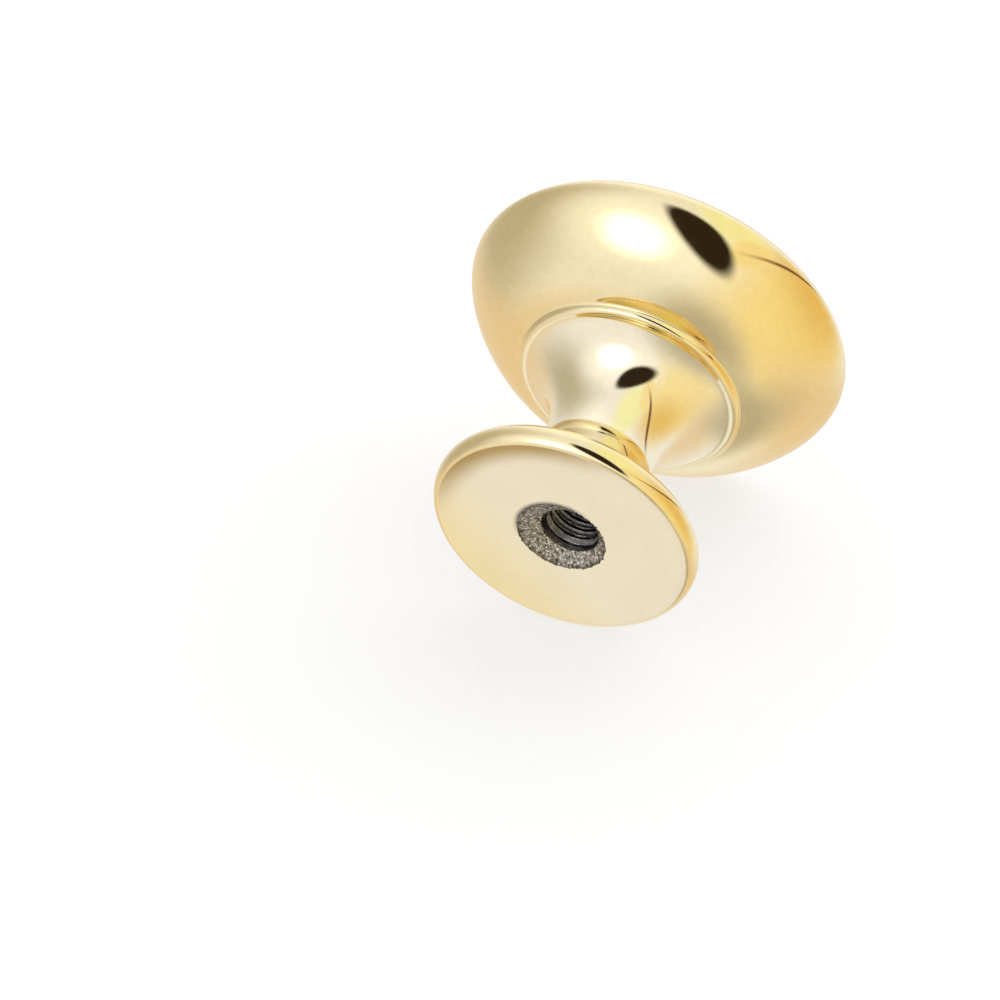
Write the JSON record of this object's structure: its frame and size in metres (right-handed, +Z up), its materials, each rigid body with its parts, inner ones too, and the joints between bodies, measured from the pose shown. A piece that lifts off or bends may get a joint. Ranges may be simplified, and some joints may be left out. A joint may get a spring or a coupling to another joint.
{
  "type": "cabinet knob",
  "caption": "Round cast cabinet knob with a disc foot, a waisted neck that flares to a beaded collar, a bowl-backed domed head and a threaded screw hole in its foot.",
  "frame": {"origin": "centre of the mounting face, on the knob's axis", "axes": "+Y along the knob's axis into the cabinet front, with the head towards -Y, where a person stands; +Z up on an upright front; +X to the right"},
  "size_m": [0.026, 0.0234, 0.026],
  "materials": {
    "gold_plating": "mirror-polished pale gold plating on a zinc die casting, satin on the mounting face, bare grey metal in the screw hole"
  },
  "bodies": {
    "root": {"knob": "gold_plating"}
  },
  "joints": []
}
